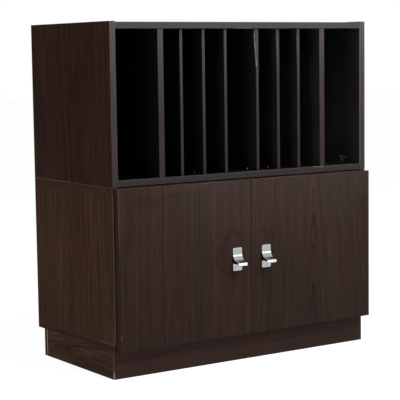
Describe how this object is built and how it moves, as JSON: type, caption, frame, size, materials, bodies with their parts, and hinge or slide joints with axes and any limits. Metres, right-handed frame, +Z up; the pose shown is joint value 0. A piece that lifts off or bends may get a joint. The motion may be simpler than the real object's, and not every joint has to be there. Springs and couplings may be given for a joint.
{
  "type": "record cabinet",
  "caption": "Two-storey record cabinet: an open module with upright sleeve dividers on a closed module with hinged doors and a shelf, on a recessed plinth.",
  "frame": {"origin": "on the floor, under the middle of the cabinet's box", "axes": "+Z up, the doors and the open compartments face -Y, +X to the right seen from the front"},
  "size_m": [0.8032, 0.4536, 0.8775],
  "materials": {
    "dark_foil": "dark rosewood-look foil on chipboard, satin",
    "door_foil": "dark rosewood-look foil on chipboard, upright grain, satin",
    "plinth_foil": "dark rosewood-look foil, level grain, satin",
    "edge_band": "grey-brown edge band, matt",
    "back_board": "dark-faced hardboard, matt",
    "dowel_wood": "turned beech",
    "raw_wood": "sawn softwood",
    "steel": "bright zinc-plated",
    "hinge_metal": "rolled plated steel",
    "satin_chrome": "satin chrome with bright rounded edges",
    "dark_plastic": "moulded, matt",
    "magnet": "dull grey"
  },
  "bodies": {
    "cabinet": {"upper_side_left": "dark_foil", "upper_side_right": "dark_foil", "upper_top_panel": "dark_foil", "upper_bottom_panel": "dark_foil", "upper_back_panel": "back_board", "upper_edge_bands": "edge_band", "divider_edge_bands": "edge_band", "divider_wide_left": "dark_foil", "divider_wide_right": "dark_foil", "divider_thin_1": "dark_foil", "divider_thin_2": "dark_foil", "divider_thin_3": "dark_foil", "divider_thin_4": "dark_foil", "divider_thin_5": "dark_foil", "divider_thin_6": "dark_foil", "divider_pins": "steel", "upper_dowels": "dowel_wood", "lower_dowels": "dowel_wood", "corner_connectors": "dark_plastic", "connector_screws": "steel", "module_joining_screws": "steel", "lower_side_left": "dark_foil", "lower_side_right": "dark_foil", "lower_top_panel": "dark_foil", "lower_bottom_panel": "dark_foil", "lower_back_panel": "back_board", "lower_edge_bands": "edge_band", "shelf": "dark_foil", "shelf_edge_band": "edge_band", "shelf_pins": "steel", "hinge_frame_leaf_left": "hinge_metal", "hinge_frame_leaf_right": "hinge_metal", "hinge_pin_left": "steel", "hinge_pin_right": "steel", "hinge_frame_screws": "steel", "catch_housings": "dark_plastic", "catch_magnets": "magnet", "catch_screws": "steel", "plinth_front": "plinth_foil", "plinth_back": "plinth_foil", "plinth_side_left": "plinth_foil", "plinth_side_right": "plinth_foil", "plinth_corner_blocks": "raw_wood", "plinth_screws": "steel"},
    "left_door": {"door_left": "door_foil", "handle_left": "satin_chrome", "handle_screws_left": "steel", "hinge_door_leaf_left": "hinge_metal", "hinge_door_screws_left": "steel", "strike_plate_left": "steel", "strike_screw_left": "steel"},
    "right_door": {"door_right": "door_foil", "handle_right": "satin_chrome", "handle_screws_right": "steel", "hinge_door_leaf_right": "hinge_metal", "hinge_door_screws_right": "steel", "strike_plate_right": "steel", "strike_screw_right": "steel"}
  },
  "joints": [
    {"name": "left_door_hinge", "type": "hinge", "parent": "cabinet", "child": "left_door", "pos_m": [-0.4, -0.182, 0.27375], "axis": [0, 0, -1], "range_deg": [0, 180]},
    {"name": "right_door_hinge", "type": "hinge", "parent": "cabinet", "child": "right_door", "pos_m": [0.4, -0.182, 0.27375], "axis": [0, 0, 1], "range_deg": [0, 180]}
  ]
}
